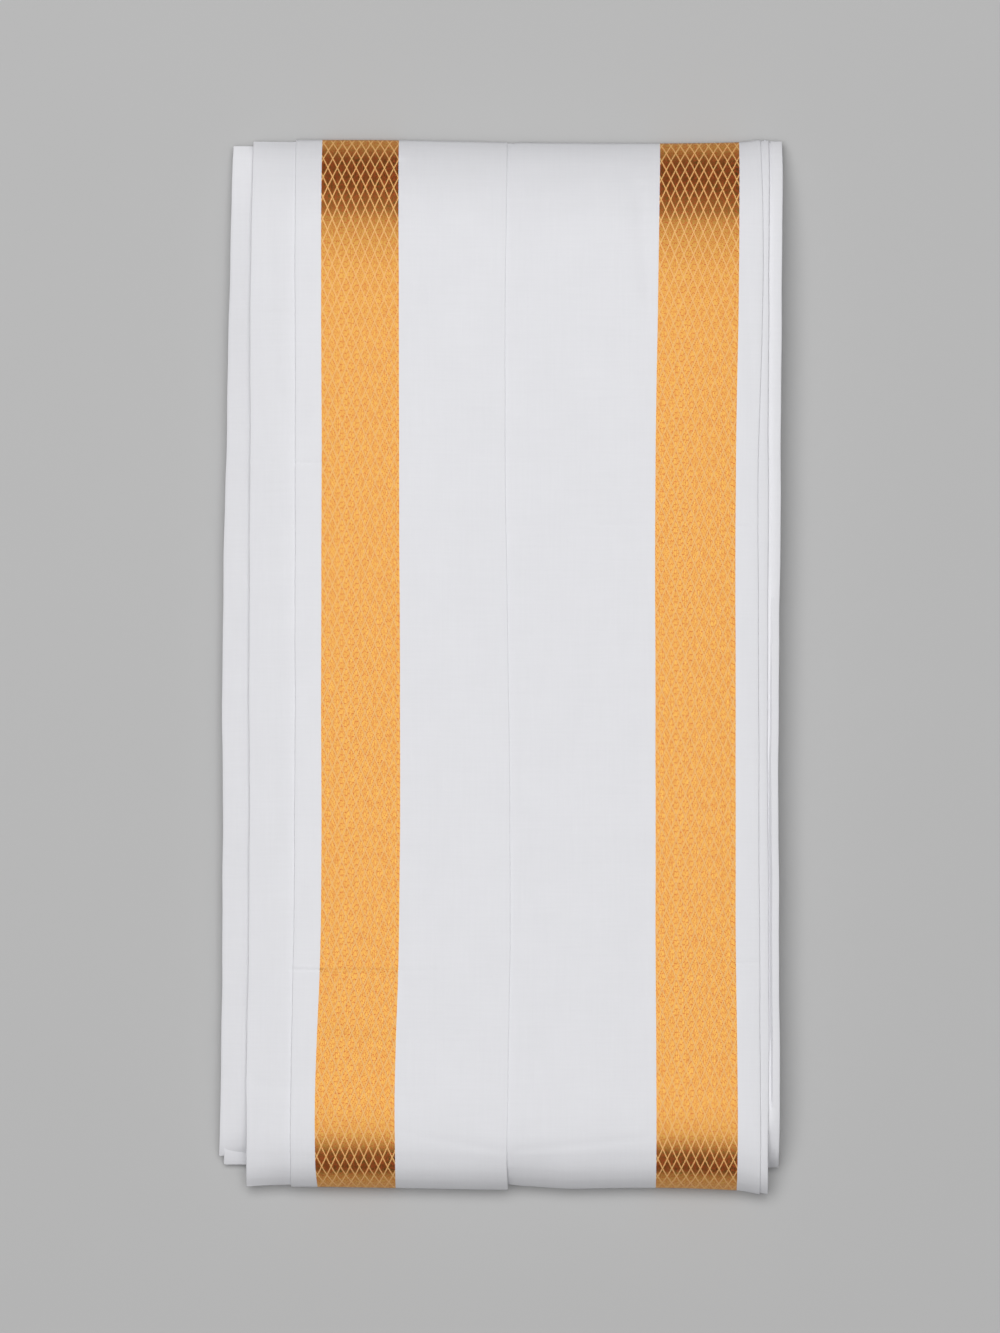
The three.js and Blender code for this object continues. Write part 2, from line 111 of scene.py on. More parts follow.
CROWN_SHIFT = (-120.0, 170.0)
RISES = table(
    "inset foldEnd wrapEnd",
    [0, 0, 0],
    [2, 0.1, 0.175],
    [5, 0.22, 0.385],
    [10, 0.378, 0.615],
    [17, 0.546, 0.805],
    [22, 0.645, 0.89],
    [28, 0.742, 0.95],
    [38, 0.857, 0.993],
    [54, 0.948, 1],
    [70, 0.985, 1],
    [88, 1, 1],
)
LOWER_SIDES = {
    "left": dict(inner="backLeft", outer="lowerLeft", foldEnd=246.7, wrapEnd=-232.0,
                 innerHeight=20.4, outerHeight=15.0, inward=1,
                 wrapNose=0.9, leafEnds=(-236.3, 243.4), endInset=2.4),
    "right": dict(inner="backRight", outer="lowerRight", foldEnd=249.0, wrapEnd=-237.6,
                  innerHeight=30.3, outerHeight=28.9, inward=-1,
                  wrapNose=3.0, leafEnds=(-234.2, 245.6), endInset=1.0),
}

# ---- creases and soft waves of the cloth -------------------------------------------------

# from x, y to x, y; half width; height, negative for a trough
CREASES = [
    (-96.5, 96.0, -84.5, 95.6, 0.7, -0.34),        # pressed across the left strips
    (-118.0, 96.8, -104.0, 96.4, 0.8, -0.12),
    (-97.5, -141.2, -85.0, -141.4, 0.6, 0.16),
    (-97.5, -142.9, -84.5, -143.2, 0.7, -0.34),
    (-84.5, -143.2, -47.5, -143.0, 0.7, -0.2),
    (-47.5, -143.0, -22.0, -142.6, 0.8, -0.06),
    (111.5, -140.0, 122.0, -139.6, 0.7, -0.3),
    (73.5, -140.6, 111.5, -140.1, 0.8, -0.08),
    (46.0, 66.6, 73.5, 66.2, 0.8, -0.13),
    (73.5, 66.2, 111.0, 65.8, 0.8, -0.07),
    (111.0, 66.0, 121.5, 65.7, 0.7, -0.2),
    (-128.0, 166.0, -86.0, 166.9, 1.2, -0.16),
    (-46.5, 168.5, -38.0, 169.6, 0.9, -0.2),
    (-38.0, 169.6, -30.5, 162.5, 0.8, -0.16),
    (-42.8, 128.4, -37.0, 125.6, 0.9, -0.16),
    (-37.0, 125.6, -33.0, 115.0, 0.9, -0.12),
    (-47.0, -75.9, -6.0, -76.6, 1.0, -0.06),
    (52.0, 39.5, 70.0, 39.0, 1.1, -0.07),
    (14.0, -58.0, 44.0, -57.2, 1.1, -0.05),
    (-46.8, 238.0, -45.6, 214.0, 2.6, -0.55),      # beside the borders, near the fold end
    (-40.0, 232.0, -34.0, 206.0, 4.0, 0.35),
    (66.0, 226.0, 70.5, 160.0, 3.4, -0.5),
    (60.0, 214.0, 62.0, 176.0, 4.2, 0.32),
    (-45.6, -219.4, 1.0, -228.2, 1.9, -0.2),       # across the fields, near the wrap end
    (8.0, -228.6, 71.0, -221.6, 2.0, -0.22),
    (-82.0, -176.4, -50.0, -178.6, 4.6, -0.3),
    (-82.0, -165.0, -50.0, -166.0, 5.0, 0.14),
    (78.0, -186.0, 108.0, -184.6, 5.0, -0.14),
    (-116.0, -196.0, -100.0, -199.0, 4.0, -0.3),
    (115.0, 190.0, 119.5, 120.0, 2.6, -0.2),
    (-110.0, 214.0, -106.0, 130.0, 4.0, -0.22),
    (-108.0, 60.0, -106.5, -80.0, 3.6, -0.16),
    (-20.0, 205.0, -18.0, 60.0, 9.0, -0.22),
    (28.0, 196.0, 32.0, 20.0, 10.0, -0.24),
    (-24.0, 10.0, -20.0, -190.0, 9.0, -0.2),
    (40.0, -20.0, 36.0, -196.0, 11.0, -0.22),
    (10.5, 214.0, 12.0, -30.0, 3.0, 0.12),
    (11.0, -60.0, 10.5, -214.0, 3.2, 0.12),
]
# x, y, half size across, half size along, height
SWELLS = [
    (92.0, 138.0, 26.0, 34.0, 0.22),
    (92.0, 196.0, 26.0, 24.0, -0.16),
    (-66.0, 120.0, 30.0, 46.0, 0.35),
    (-20.0, 60.0, 34.0, 60.0, 0.4),
    (40.0, -60.0, 36.0, 70.0, 0.45),
    (-60.0, -90.0, 30.0, 50.0, 0.35),
    (96.0, -70.0, 24.0, 60.0, 0.3),
    (30.0, 150.0, 30.0, 40.0, -0.3),
]
# the same kind of creases on the underside, pressed up into the packet
UNDER_CREASES = [
    (-96.5, 118.0, -50.0, 116.4, 0.9, 0.3),
    (-46.0, -98.0, 0.0, -96.6, 1.0, 0.26),
    (8.0, 61.0, 70.0, 59.6, 1.0, 0.3),
    (74.0, -131.0, 121.0, -129.6, 0.9, 0.3),
    (-30.0, 180.0, -26.0, 40.0, 7.0, 0.35),
    (34.0, 120.0, 38.0, -60.0, 8.0, 0.35),
    (-24.0, -60.0, -20.0, -200.0, 6.0, 0.35),
    (50.0, -110.0, 46.0, -210.0, 6.0, 0.3),
    (-112.0, -40.0, -100.0, -42.0, 1.0, 0.25),
    (-60.0, 205.0, -10.0, 198.0, 3.0, 0.35),
    (12.0, -205.0, 66.0, -212.0, 3.4, 0.4),
]
# faint spots of shade painted into the cloth's colour: x, y, half sizes, darkening
PAINTED_SHADE_SPOTS = [
    (58.9, 39.5, 5.0, 3.0, 0.014),
    (58.9, 14.0, 4.0, 5.0, 0.012),
    (-29.8, -11.0, 3.5, 9.0, 0.012),
    (-31.0, -48.0, 3.0, 12.0, 0.010),
    (-26.5, -75.0, 4.0, 6.0, 0.009),
    (40.0, 118.0, 7.0, 4.0, 0.006),
    (-104.0, -120.0, 3.0, 14.0, 0.008),
]


def curve(columns, key, name, at):
    """Smooth value of a table's column at places between its rows."""
    keys, values = columns[key], columns[name]
    if keys[0] > keys[-1]:
        keys, values = keys[::-1], values[::-1]
    at = np.clip(at, keys[0], keys[-1])
    i = np.clip(np.searchsorted(keys, at, side="right") - 1, 0, len(keys) - 2)
    before, after = np.maximum(i - 1, 0), np.minimum(i + 2, len(keys) - 1)
    width = keys[i + 1] - keys[i]
    t = (at - keys[i]) / width
    slope0 = (values[i + 1] - values[before]) / (keys[i + 1] - keys[before]) * width
    slope1 = (values[after] - values[i]) / (keys[after] - keys[i]) * width
    return (values[i] * (1 + 2 * t) * (1 - t) ** 2 + slope0 * t * (1 - t) ** 2
            + values[i + 1] * t * t * (3 - 2 * t) - slope1 * t * t * (1 - t))


def smoothstep(value, low, high):
    """0 at low, 1 at high, smooth between; low may be the greater one."""
    t = np.clip((value - low) / (high - low), 0, 1)
    return t * t * (3 - 2 * t)


def wander(y, seed, amount=0.14):
    """How far a hand-laid edge strays from its line."""
    return amount * (np.sin(y / 31.0 + 1.7 * seed) + 0.6 * np.sin(y / 13.3 + 2.9 * seed)
                     + 0.3 * np.sin(y / 5.9 + 4.1 * seed))


STRAY = {"lowerLeft": 0.22, "backLeft": 0.16, "leftFold": 0.12, "leftOuter": 0.05, "leftInner": 0.05,
         "flapEdge": 0.1, "rightInner": 0.05, "rightOuter": 0.05, "rightFold": 0.12,
         "backRight": 0.14, "lowerRight": 0.16}


def edge(name, y):
    columns = EDGES if name in EDGES else RIGHT_EDGES
    return curve(columns, "y", name, y) + wander(y, len(name) + ord(name[0]), STRAY[name])


def line_relief(lines, x, y):
    total = np.zeros(np.broadcast(x, y).shape)
    for x0, y0, x1, y1, spread, height in lines:
        across, along = x1 - x0, y1 - y0
        share = np.clip(((x - x0) * across + (y - y0) * along) / (across ** 2 + along ** 2), 0, 1)
        distance = (x - x0 - share * across) ** 2 + (y - y0 - share * along) ** 2
        total += height * np.exp(-distance / spread ** 2)
    return total


def relief(x, y):
    total = line_relief(CREASES, x, y)
    for cx, cy, half_across, half_along, height in SWELLS:
        total += height * np.exp(-((x - cx) / half_across) ** 2 - ((y - cy) / half_along) ** 2)
    return total


def climb(y, fold_end, wrap_end):
    """Share of the climb reached at y, and whether the fold end sets it."""
    from_fold = curve(RISES, "inset", "foldEnd", fold_end - y)
    from_wrap = curve(RISES, "inset", "wrapEnd", y - wrap_end)
    return np.minimum(from_fold, from_wrap), from_fold < from_wrap


def top_height(x, y):
    share, at_fold = climb(y, curve(SPANS, "x", "foldEnd", x), curve(SPANS, "x", "wrapEnd", x))
    shift = smoothstep(y, *CROWN_SHIFT)
    crown = (1 - shift) * curve(SPANS, "x", "wrapCrown", x) + shift * curve(SPANS, "x", "foldCrown", x)
    nose = np.where(at_fold, FOLD_NOSE, WRAP_NOSE)
    return nose + (crown - nose) * share


def lower_height(side, x, y):
    """Height of the second segment beside the upper layers."""
    facts = LOWER_SIDES[side]
    inner, outer = edge(facts["inner"], y), edge(facts["outer"], y)
    outward = np.clip((x - inner) / (outer - inner), 0, 1)
    crown = facts["innerHeight"] + (facts["outerHeight"] - facts["innerHeight"]) * outward
    return LOWER_NOSE + (crown - LOWER_NOSE) * climb(y, facts["foldEnd"], facts["wrapEnd"])[0]


# ---- the path of the wrapped cloth -------------------------------------------------------

TUCK, CURL, TOP, WRAP, UNDER = range(5)
FINE_LINES = (95.8, 66.3, -140.0, -142.5)


def top_places():
    """y of the stations on top, closer together at the ends and at pressed creases."""
    places, y = [], 248.6
    while y > -247.8:
        places.append(y)
        end = min(248.6 - y, y + 247.8)
        step = 0.9 if end < 22 else 1.3 if end < 60 else 1.9
        if min(abs(y - line) for line in FINE_LINES) < 4:
            step = 0.7
        y -= step
    return places + [-247.8]


def all_stations():
    stations = [(TUCK, inset, 248.6 - inset) for inset in (12.0, 9.0, 6.0, 4.2)]
    stations += [(CURL, turn, 248.6) for turn in np.linspace(0, math.pi / 2, 8)[:-1]]
    stations += [(TOP, (248.6 - y) / 496.4, y) for y in top_places()]
    stations += [(WRAP, turn, -247.8) for turn in np.linspace(0, math.pi / 2, 11)[1:]]
    under = np.linspace(0, 1, 120)[1:]
    stations += [(UNDER, t, -241.3 + t * 485.9) for t in under]
    return [np.array(column) for column in zip(*stations)]


KIND, PLACE, ALONG = all_stations()


def wrapped(x):
    """Points of the outermost surface, for x given as stations by columns."""
    kind, place = KIND[:, None], PLACE[:, None]
    fold_end, wrap_end = curve(SPANS, "x", "foldEnd", x), curve(SPANS, "x", "wrapEnd", x)
    top_y = fold_end + (wrap_end - fold_end) * place
    under_start = wrap_end + WRAP_RADIUS
    under_y = under_start + (fold_end - CUT_SETBACK - under_start) * place
    cases = [kind == TUCK, kind == CURL, kind == TOP, kind == WRAP]
    y = np.select(cases, [
        fold_end - place,
        fold_end - CURL_RADIUS * (1 - np.sin(place)),
        top_y,
        wrap_end + WRAP_RADIUS * (1 - np.cos(place)),
    ], under_y)
    z = np.select(cases, [
        FOLD_NOSE - CURL_RADIUS + 0 * x,
        FOLD_NOSE - CURL_RADIUS * np.cos(place) + 0 * x,
        top_height(x, top_y) + relief(x, top_y),
        WRAP_NOSE * (1 - np.sin(place)) + 0 * x,
    ], line_relief(UNDER_CREASES, x, under_y))
    return np.stack([x, y, z], -1)


def unit(vectors):
    return vectors / np.maximum(np.linalg.norm(vectors, axis=-1, keepdims=True), 1e-9)


def layer(x, depth):
    """Middle surface of a layer at a depth inside the outermost surface."""
    points = wrapped(x)
    across = wrapped(x + 0.4) - wrapped(x - 0.4)
    normal = unit(np.cross(np.gradient(points, axis=0), across))
    return points - normal * depth[..., None]


# ---- columns across a layer --------------------------------------------------------------

def between(x0, x1, step=GRID, ends=(True, True)):
    """Columns from x0 to x1, both given at every station."""
    count = max(1, round(float(np.mean(np.abs(x1 - x0))) / step))
    picks = range(0 if ends[0] else 1, count + (1 if ends[1] else 0))
    return [x0 + (x1 - x0) * i / count for i in picks]


def rolled(line, inward, depth, reach=6.0, roll=ROLL):
    """Columns and depths of a folded edge, from the inside of its lower ply to its top."""
    centre = line + inward * (PLY / 2 + roll)
    xs = [centre + inward * offset for offset in (reach, reach / 2, 0.6)]
    depths = [depth + 2 * roll] * 3
    for turn in np.linspace(-math.pi / 2, math.pi / 2, 8):
        xs.append(centre - inward * roll * math.cos(turn))
        depths.append(depth + roll - roll * math.sin(turn))
    return xs, depths


# ---- meshes ------------------------------------------------------------------------------

def shell(middle, cloth, pinch=None, thickness=PLY):
    """Closed thin cloth round a grid of middle points: vertices, faces and cloth coordinates."""
    rows, columns = middle.shape[:2]
    normal = unit(np.cross(np.gradient(middle, axis=0), np.gradient(middle, axis=1)))
    half = (np.ones((rows, columns)) if pinch is None else pinch)[..., None] * thickness / 2
    vertices = np.concatenate([(middle + normal * half).reshape(-1, 3),
                               (middle - normal * half).reshape(-1, 3)])
    index = np.arange(rows * columns).reshape(rows, columns)
    back = index + rows * columns
    quads = [
        (index[:-1, :-1], index[1:, :-1], index[1:, 1:], index[:-1, 1:]),
        (back[:-1, :-1], back[:-1, 1:], back[1:, 1:], back[1:, :-1]),
        (index[:-1, 0], back[:-1, 0], back[1:, 0], index[1:, 0]),
        (index[:-1, -1], index[1:, -1], back[1:, -1], back[:-1, -1]),
        (index[0, :-1], index[0, 1:], back[0, 1:], back[0, :-1]),
        (index[-1, :-1], back[-1, :-1], back[-1, 1:], index[-1, 1:]),
    ]
    faces = np.concatenate([np.stack([q.ravel() for q in quad], -1) for quad in quads])
    flat = cloth.reshape(-1, 3)
    return vertices, faces, np.concatenate([flat, flat])


def piece(name, parts, material, node=None, smooth_angle=50):
    """One object from shells; it rides on the packet and stands for its CAD node."""
    vertices, faces, cloth, start = [], [], [], 0
    for part_vertices, part_faces, part_cloth in parts:
        vertices.append(part_vertices)
        faces.append(part_faces + start)
        cloth.append(part_cloth)
        start += len(part_vertices)
    vertices, faces, cloth = (np.concatenate(a) for a in (vertices, faces, cloth))
    mesh = bpy.data.meshes.new(name)
    mesh.from_pydata((vertices * MM).tolist(), [], faces.tolist())
    coordinates = mesh.attributes.new("cloth", "FLOAT_VECTOR", "POINT")
    coordinates.data.foreach_set("vector", cloth.astype(np.float32).ravel())
    mesh.materials.append(material)
    mesh.shade_smooth()
    mesh.set_sharp_from_angle(angle=math.radians(smooth_angle))
    mesh.update()
    obj = bpy.data.objects.new(name, mesh)
    bpy.context.scene.collection.objects.link(obj)
    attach(obj, "root")
    if node:
        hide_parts(node)
    return obj


def painted_shade_spots(x, y):
    total = np.zeros(x.shape)
    for cx, cy, half_across, half_along, darkening in PAINTED_SHADE_SPOTS:
        total += darkening * np.exp(-((x - cx) / half_across) ** 2 - ((y - cy) / half_along) ** 2)
    return total


def cloth_grid(middle, across, on_top):
    """Cloth coordinates: millimetres across, millimetres along, and how much painted shade the cloth has."""
    steps = np.linalg.norm(np.diff(middle, axis=0), axis=-1)
    run = np.concatenate([np.zeros((1, middle.shape[1])), np.cumsum(steps, axis=0)])
    run -= run[np.argmin(np.where(on_top, np.abs(middle[:, 0, 1]), 1000.0))]
    painted_shade = np.where(on_top[:, None], painted_shade_spots(middle[..., 0], middle[..., 1]), 0)
    return np.stack([across, run, painted_shade], -1)


def ribbon(name, columns, depths, material, node, pinches=(), origin=None, draw_in=None):
    """A stretch of the wrapped cloth, from columns of x and their depths."""
    x = np.stack(columns, 1)
    depth = np.stack([np.broadcast_to(d, len(ALONG)) for d in depths], 1)
    middle = layer(x, depth)
    if draw_in is not None:
        middle[..., 1] += np.stack(draw_in, 1) * smoothstep(middle[..., 1], -218, -243)
    pinch = np.ones(x.shape)
    for column, amount in pinches:
        pinch[:, column] = amount
    pinch[0], pinch[-1] = 0.35, 0.35
    across = x - (origin[:, None] if origin is not None else 0)
    return piece(name, [shell(middle, cloth_grid(middle, across, KIND == TOP), pinch)], material, node)


# ---- materials ---------------------------------------------------------------------------

class Material:
    """Small helper for building a node tree."""

    def __init__(self, name):
        self.material = bpy.data.materials.new(name)
        self.material.use_nodes = True
        self.tree = self.material.node_tree
        self.tree.nodes.clear()

    def node(self, kind, inputs=None, **settings):
        node = self.tree.nodes.new(kind)
        for key, value in settings.items():
            setattr(node, key, value)
        for key, value in (inputs or {}).items():
            if isinstance(value, bpy.types.NodeSocket):
                self.tree.links.new(value, node.inputs[key])
            else:
                node.inputs[key].default_value = value
        return node

    def math(self, operation, *values):
        return self.node("ShaderNodeMath", dict(enumerate(values)), operation=operation).outputs[0]

    def noise(self, vector, detail=2.0, roughness=0.5, scale=1.0):
        return self.node("ShaderNodeTexNoise", {"Vector": vector, "Scale": scale, "Detail": detail,
                                                "Roughness": roughness}).outputs["Fac"]

    def combine(self, x, y, z=0.0):
        return self.node("ShaderNodeCombineXYZ", {0: x, 1: y, 2: z}).outputs[0]

    def mix(self, factor, a, b):
        node = self.node("ShaderNodeMix", {"Factor": factor}, data_type="RGBA")
        for socket, value in ((node.inputs[6], a), (node.inputs[7], b)):
            if isinstance(value, bpy.types.NodeSocket):
                self.tree.links.new(value, socket)
            else:
                socket.default_value = value
        return node.outputs[2]

    def cloth(self):
        vector = self.node("ShaderNodeAttribute", attribute_name="cloth").outputs["Vector"]
        parts = self.node("ShaderNodeSeparateXYZ", {0: vector})
        return parts.outputs[0], parts.outputs[1], parts.outputs[2]

    def finish(self, shader):
        self.node("ShaderNodeOutputMaterial", {"Surface": shader.outputs[0]})
        return self.material


def cotton_material(name, shade):
    """Fine plain-woven cotton: thread streaks both ways, a fine weave and a few thick threads."""
    m = Material(name)
    across, along, painted_shade = m.cloth()
    warp = m.noise(m.combine(m.math("MULTIPLY", across, 0.8), m.math("MULTIPLY", along, 0.03)), 4, 0.75)
    weft = m.noise(m.combine(m.math("MULTIPLY", across, 0.035), m.math("MULTIPLY", along, 0.8), 7.0), 4, 0.75)
    patches = m.combine(m.math("MULTIPLY", across, 0.045), m.math("MULTIPLY", along, 0.04), 3.0)
    cloudy = m.noise(patches, 4, 0.6)
    threads = m.math("ADD", warp, weft)
    tone = m.math("ADD", m.math("MULTIPLY", m.math("SUBTRACT", threads, 1.0), 0.22),
                  m.math("MULTIPLY", m.math("SUBTRACT", cloudy, 0.5), 0.2))
    # the spots of painted shade darken the colour here
    tone = m.math("SUBTRACT", m.math("ADD", tone, 0.5), m.math("MULTIPLY", painted_shade, 2.2))
    light, dark = [c * 1.12 for c in shade[:3]] + [1], [c * 0.88 for c in shade[:3]] + [1]
    colour = m.mix(tone, dark, light)
    # over and under of the single threads
    weave = m.math("MULTIPLY", m.math("SINE", m.math("MULTIPLY", across, 2 * math.pi / 0.42)),
                   m.math("SINE", m.math("MULTIPLY", along, 2 * math.pi / 0.42)))
    height = m.math("ADD", m.math("MULTIPLY", threads, 0.5), m.math("MULTIPLY", weave, 0.14))
    bump = m.node("ShaderNodeBump", {"Height": height, "Strength": 0.32, "Distance": 0.00012})
    rough = m.math("ADD", m.math("MULTIPLY", warp, 0.12), 0.78)
    shader = m.node("ShaderNodeBsdfPrincipled", {
        "Base Color": colour, "Roughness": rough, "Normal": bump.outputs[0],
        "Sheen Weight": 0.12, "Sheen Roughness": 0.4, "Specular IOR Level": 0.25,
    })
    return m.finish(shader)


LATTICE_ACROSS = 4.45     # the diamonds' pitch across and along the border
LATTICE_ALONG = 10.8
LATTICE_START = (2.98, 0.0)
STEP = 0.9                # length of one stair of the lattice's lines
FLOAT_WIDTH = 0.42        # pitch of the flat metal threads across the border
FLOAT_LENGTH = 2.7        # and of their stitches along it


def zari_material(name):
    """Gold border: flat metal threads on a red-brown core, under a lattice of yellow threads; the lattice's
    colour is their yellow with a painted glint added.
    """
    m = Material(name)
    across, along, _ = m.cloth()
    # threads step over each other, so the lattice's lines climb in small stairs
    stepped = m.math("MULTIPLY", m.math("FLOOR", m.math("DIVIDE", along, STEP)), STEP)
    smooth_along = m.math("ADD", m.math("MULTIPLY", stepped, 0.6), m.math("MULTIPLY", along, 0.4))
    u = m.math("DIVIDE", m.math("SUBTRACT", across, LATTICE_START[0]), LATTICE_ACROSS)
    v = m.math("DIVIDE", m.math("SUBTRACT", smooth_along, LATTICE_START[1]), LATTICE_ALONG)

    def line(phase):
        away = m.math("ABSOLUTE", m.math("SUBTRACT", m.math("FRACT", m.math("ADD", phase, 0.5)), 0.5))
        return m.node("ShaderNodeMapRange", {"Value": away, "From Min": 0.045, "From Max": 0.085,
                                             "To Min": 1.0, "To Max": 0.0}).outputs[0]

    bead = m.math("ABSOLUTE", m.math("SUBTRACT", m.math("FRACT", m.math("DIVIDE", along, STEP)), 0.5))
    lattice = m.math("MAXIMUM", line(m.math("ADD", u, v)), line(m.math("SUBTRACT", u, v)))
    lattice = m.math("MULTIPLY", lattice, m.math("SUBTRACT", 1.0, m.math("MULTIPLY", bead, 0.3)))
    streaks = m.noise(m.combine(m.math("MULTIPLY", across, 2.2), m.math("MULTIPLY", along, 0.16)), 2, 0.6)
    fine = m.noise(m.combine(m.math("MULTIPLY", across, 1.6), m.math("MULTIPLY", along, 0.8), 5.0), 3, 0.7)
    # flat metal threads side by side, each with its own stagger of stitches
    column = m.math("DIVIDE", across, FLOAT_WIDTH)
    number = m.math("FLOOR", column)
    chance = m.node("ShaderNodeTexWhiteNoise", {"W": number}, noise_dimensions="1D").outputs["Value"]
    stagger = m.math("MULTIPLY", chance, FLOAT_LENGTH)
    stitch = m.math("FRACT", m.math("DIVIDE", m.math("ADD", along, stagger), FLOAT_LENGTH))
    centred = m.math("ABSOLUTE", m.math("SUBTRACT", m.math("FRACT", column), 0.5))
    # a spot is either flat metal or bare core, and the threads are wider in some streaks
    uneven = m.math("ADD", m.math("MULTIPLY", streaks, 0.55), m.math("MULTIPLY", fine, 0.4))
    reach = m.math("SUBTRACT", uneven, 0.075)
    thread = m.node("ShaderNodeMapRange", {"Value": m.math("SUBTRACT", reach, centred),
                                           "From Min": -0.03, "From Max": 0.03}).outputs[0]
    gap = m.node("ShaderNodeMapRange", {"Value": m.math("ABSOLUTE", m.math("SUBTRACT", stitch, 0.5)),
                                        "From Min": 0.44, "From Max": 0.455}).outputs[0]
    metal = m.math("MULTIPLY", thread, m.math("SUBTRACT", 1.0, gap))
    metal = m.math("MULTIPLY", metal, m.math("SUBTRACT", 1.0, lattice))
    core = m.mix(fine, CORE_DARK, CORE_LIGHT)
    ground = m.mix(metal, core, METAL)
    # the lattice's colour is the threads' own yellow, made brighter with a painted glint
    colour = m.mix(lattice, ground, LATTICE_YELLOW_AND_GLINT)
    duller = m.math("ADD", m.math("MULTIPLY", lattice, 0.2), m.math("MULTIPLY", fine, 0.1))
    rough = m.math("ADD", 0.25, duller)
    height = m.math("ADD", m.math("MULTIPLY", lattice, 0.8), m.math("MULTIPLY", metal, 0.5))
    bump = m.node("ShaderNodeBump", {"Height": height, "Strength": 0.15, "Distance": 0.00012})
    shader = m.node("ShaderNodeBsdfPrincipled", {
        "Base Color": colour, "Metallic": metal, "Roughness": rough, "Normal": bump.outputs[0],
        "Specular IOR Level": 0.1,
    })
    return m.finish(shader)


CORE_DARK = (0.45, 0.06, 0.018, 1)
CORE_LIGHT = (0.8, 0.12, 0.04, 1)
METAL = (0.83, 0.46, 0.106, 1)
# lattice threads: their own yellow, painted brighter as a stand-in for the glint of round threads
LATTICE_YELLOW_AND_GLINT = (0.9, 0.54, 0.2, 1)
cotton = cotton_material("cotton", (0.776, 0.777, 0.806, 1))
# the second cotton is the same cloth painted a little lighter, for the lower and inner layers: painted light
# against the shade they lie in
cotton_painted_lighter = cotton_material("cotton_painted_lighter", (0.79, 0.79, 0.818, 1))
zari = zari_material("zari")

# ---- the two flaps -----------------------------------------------------------------------

RIM = [(0.0, 0.3), (0.18, 0.8), (0.5, 1.0)]        # inset and pinch of a single edge

left_fold, left_outer, left_inner = (edge(n, ALONG) for n in ("leftFold", "leftOuter", "leftInner"))
flap_edge = edge("flapEdge", ALONG)
right_inner, right_outer, right_fold = (edge(n, ALONG) for n in ("rightInner", "rightOuter", "rightFold"))

xs, depths = rolled(left_fold, 1, FIRST)
tops = between(left_fold + PLY / 2 + ROLL, left_outer, ends=(False, True))
left_fold_cloth = ribbon("left_fold_cloth", xs + tops, depths + [FIRST] * len(tops), cotton,
                         "left_flap_fold")

tops = between(left_outer, left_inner)
left_zari_cloth = ribbon("left_zari_cloth", tops, [FIRST] * len(tops), zari,
                         "left_zari_border", origin=left_outer)

tops = between(left_inner, flap_edge - 1.0)
rims = [flap_edge - inset for inset, _ in reversed(RIM)]
columns = tops + rims
count = len(columns)
left_field_cloth = ribbon(
    "left_field_cloth", columns, [FIRST] * count, cotton, "left_flap_field",
    pinches=[(count - 1 - i, amount) for i, (_, amount) in enumerate(RIM)])

hidden_edge = flap_edge - FLAP_OVERLAP
rims = [hidden_edge + inset for inset, _ in RIM]
under_left = between(hidden_edge + 1.0, flap_edge - 1.5, step=2.5)
dip = between(flap_edge - 0.8, flap_edge + 9.0, step=0.8)
rest = between(flap_edge + 9.0, right_inner, ends=(False, True))
columns = rims + under_left + dip + rest
sunk = [FIRST + STEP_DOWN * (1 - smoothstep(x, flap_edge - 0.2, flap_edge + 7.5)) for x in columns]
# at the wrap end the right flap stops a little short, beside the left one's edge
short = [NOTCH * (1 - smoothstep(x, flap_edge + 2, flap_edge + 34)) for x in columns]
right_field_cloth = ribbon(
    "right_field_cloth", columns, sunk, cotton, "right_flap_field",
    pinches=[(i, amount) for i, (_, amount) in enumerate(RIM)], draw_in=short)

tops = between(right_inner, right_outer)
right_zari_cloth = ribbon("right_zari_cloth", tops, [FIRST] * len(tops), zari,
                          "right_zari_border", origin=right_inner)

xs, depths = rolled(right_fold, -1, FIRST, roll=TIGHT_ROLL)
tops = between(right_outer, right_fold - PLY / 2 - TIGHT_ROLL, ends=(True, False))
right_fold_cloth = ribbon("right_fold_cloth", tops + xs[::-1], [FIRST] * len(tops) + depths[::-1],
                          cotton, "right_flap_fold")

# ---- the back layer, outside each flap ---------------------------------------------------

# underneath, it comes nearer to the surface it rests on
first_under = int(np.argmax(KIND == UNDER))
under_share = smoothstep(np.arange(len(KIND)), first_under - 8, first_under + 6)
back_depth = FIRST + BACK_STEP + (STEP_DOWN - BACK_STEP) * under_share
right_back_depth = FIRST + RIGHT_BACK_STEP + (STEP_DOWN - RIGHT_BACK_STEP) * under_share
back_left, back_right = edge("backLeft", ALONG), edge("backRight", ALONG)

xs, depths = rolled(back_left, 1, back_depth)
tops = between(back_left + PLY / 2 + ROLL, left_fold + 8, ends=(False, True))
back_left_cloth = ribbon("back_left_cloth", xs + tops, depths + [back_depth] * len(tops), cotton,
                         "back_layer_left")

xs, depths = rolled(back_right, -1, right_back_depth, reach=4.0)
tops = between(right_fold - 8, back_right - PLY / 2 - ROLL, ends=(True, False))
depths = [right_back_depth] * len(tops) + depths[::-1]
back_right_cloth = ribbon("back_right_cloth", tops + xs[::-1], depths, cotton,
                          "back_layer_right")

# ---- the second segment, outside the back layer ------------------------------------------

